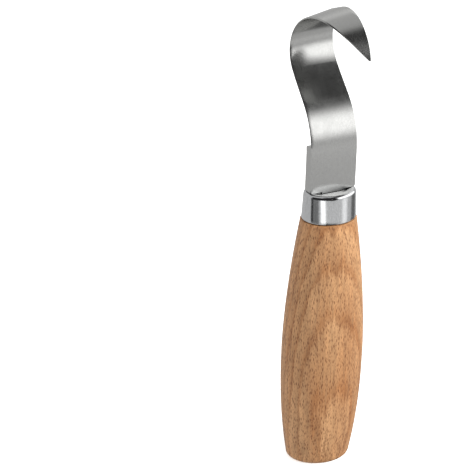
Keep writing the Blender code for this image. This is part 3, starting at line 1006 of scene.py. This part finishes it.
def floor_and_wall(studio):
    """A round floor that sweeps up into a wall all round, so that no horizon shows."""
    bm = bmesh.new()
    bmesh.ops.create_circle(bm, cap_ends=True, segments=COVE_SEGMENTS,
                            radius=studio.floor_radius)
    for step in range(COVE_STEPS + 1):
        rim_edges = [edge for edge in bm.edges if edge.is_boundary]
        grown = bmesh.ops.extrude_edge_only(bm, edges=rim_edges)["geom"]
        verts = [item for item in grown if isinstance(item, bmesh.types.BMVert)]
        turn_up = math.pi / 2 * min(step + 1, COVE_STEPS) / COVE_STEPS
        out = studio.floor_radius + studio.cove_radius * math.sin(turn_up)
        height = studio.cove_radius * (1 - math.cos(turn_up))
        if step == COVE_STEPS:
            height = studio.wall_height
        for vert in verts:
            flat = Vector((vert.co.x, vert.co.y, 0)).normalized()
            vert.co = flat * out + Vector((0, 0, height))
    for face in bm.faces:
        face.smooth = len(face.verts) == 4
    return bm


def matt_white_floor(studio):
    """Painted board with a faint orange-peel: plain, pale and without a highlight."""
    material, tree, shader = blank_material("matt_white_paint")
    place = node(tree, "ShaderNodeTexCoord").outputs["Object"]
    # The orange-peel has bumps of about 2.5 mm.
    peel = node(tree, "ShaderNodeTexNoise",
                {"Vector": stretched(tree, place, (2.5 * MM,) * 3), "Scale": 1.0})
    relief = node(tree, "ShaderNodeBump",
                  {"Height": peel.outputs["Fac"], "Strength": 0.05, "Distance": 0.1 * MM})
    feed(tree, shader, {"Base Color": (*studio.floor, 1), "Roughness": 0.9,
                        "Specular IOR Level": 0.1, "Normal": relief.outputs["Normal"],
                        "Emission Color": (1, 1, 1, 1), "Emission Strength": FLOOR_GLOW})
    return material


def make_camera(studio):
    """Turn the camera about the knife, roll it, then aim it beside the knife."""
    turned_by, raised = studio.camera_turn, studio.camera_height
    toward = Vector((-math.sin(turned_by) * math.cos(raised),
                     -math.cos(turned_by) * math.cos(raised), math.sin(raised)))
    level = Vector((math.cos(turned_by), -math.sin(turned_by), 0))
    upward = toward.cross(level)
    roll = studio.camera_roll
    right = level * math.cos(roll) + upward * math.sin(roll)
    upright = upward * math.cos(roll) - level * math.sin(roll)
    pivot = Vector((0, 0, AIM_HEIGHT))
    place = pivot + toward * studio.camera_distance
    target = pivot - right * AIM_LEFT - upright * AIM_BELOW
    back = (place - target).normalized()
    side = upright.cross(back).normalized()
    data = bpy.data.cameras.new("camera")
    data.sensor_width = 36.0
    data.lens = studio.lens
    data.clip_start, data.clip_end = 0.01, 100.0
    camera = bpy.data.objects.new("camera", data)
    bpy.context.scene.collection.objects.link(camera)
    turned_to = Matrix((side, back.cross(side), back)).transposed().to_4x4()
    camera.matrix_world = Matrix.Translation(place) @ turned_to
    bpy.context.scene.camera = camera


class KNIFE_OT_studio(bpy.types.Operator):
    """Lay the pale floor, set the soft lights and cards and place the camera"""
    bl_idname = "hook_knife.studio"
    bl_label = "Studio"

    def execute(self, context):
        scene = context.scene
        studio = scene.hook_knife_studio
        world = bpy.data.worlds.new("white surround")
        world.use_nodes = True
        world.node_tree.nodes.clear()
        sky = node(world.node_tree, "ShaderNodeBackground",
                   {"Color": (1, 1, 1, 1), "Strength": studio.daylight})
        node(world.node_tree, "ShaderNodeOutputWorld", {"Surface": sky.outputs[0]})
        scene.world = world
        scene.view_settings.view_transform = "Standard"

        floor = stage_object("floor", floor_and_wall(studio), matt_white_floor(studio))
        for ray in ("glossy", "diffuse", "shadow"):
            setattr(floor, "visible_" + ray, False)
        bm = bmesh.new()
        bmesh.ops.create_icosphere(bm, subdivisions=4, radius=TENT_RADIUS)
        tent = stage_object("light_tent", bm, glow_material("light_tent", TENT_BRIGHTNESS))
        only_mirrored(tent)
        for order, row in enumerate(CARDS):
            make_card(CARD_DISTANCE - CARD_STEP * order, *row)
        make_card(TIP_CARD_DISTANCE, *TIP_CARD)
        for row in LIGHTS:
            make_light(*row)
        make_camera(studio)
        return {"FINISHED"}


# ---- panel and registration ----------------------------------------------------------------
class KNIFE_PT_panel(bpy.types.Panel):
    """Sizes, colours and the button for each piece"""
    bl_idname = "KNIFE_PT_panel"
    bl_label = "Hook Knife"
    bl_space_type = "VIEW_3D"
    bl_region_type = "UI"
    bl_category = "Hook Knife"

    def draw(self, context):
        for operator, group in ((KNIFE_OT_blade, "hook_knife_blade"),
                                (KNIFE_OT_ferrule, "hook_knife_ferrule"),
                                (KNIFE_OT_handle, "hook_knife_handle"),
                                (KNIFE_OT_adhesive, None),
                                (KNIFE_OT_studio, "hook_knife_studio")):
            box = self.layout.box()
            box.operator(operator.bl_idname)
            if group:
                settings = getattr(context.scene, group)
                for name in settings.__annotations__:
                    box.prop(settings, name)


GROUPS = {"hook_knife_blade": BladeSettings, "hook_knife_ferrule": FerruleSettings,
          "hook_knife_handle": HandleSettings, "hook_knife_studio": StudioSettings}
OPERATORS = (KNIFE_OT_blade, KNIFE_OT_ferrule, KNIFE_OT_handle, KNIFE_OT_adhesive,
             KNIFE_OT_studio)


def register():
    for cls in (*GROUPS.values(), *OPERATORS, KNIFE_PT_panel):
        bpy.utils.register_class(cls)
    for name, group in GROUPS.items():
        setattr(bpy.types.Scene, name, PointerProperty(type=group))


def unregister():
    for name in GROUPS:
        delattr(bpy.types.Scene, name)
    for cls in (KNIFE_PT_panel, *reversed(OPERATORS), *reversed(GROUPS.values())):
        bpy.utils.unregister_class(cls)


def main():
    register()
    bpy.ops.hook_knife.blade()
    bpy.ops.hook_knife.ferrule()
    bpy.ops.hook_knife.handle()
    bpy.ops.hook_knife.adhesive()
    bpy.ops.hook_knife.studio()


if __name__ == "__main__":
    main()
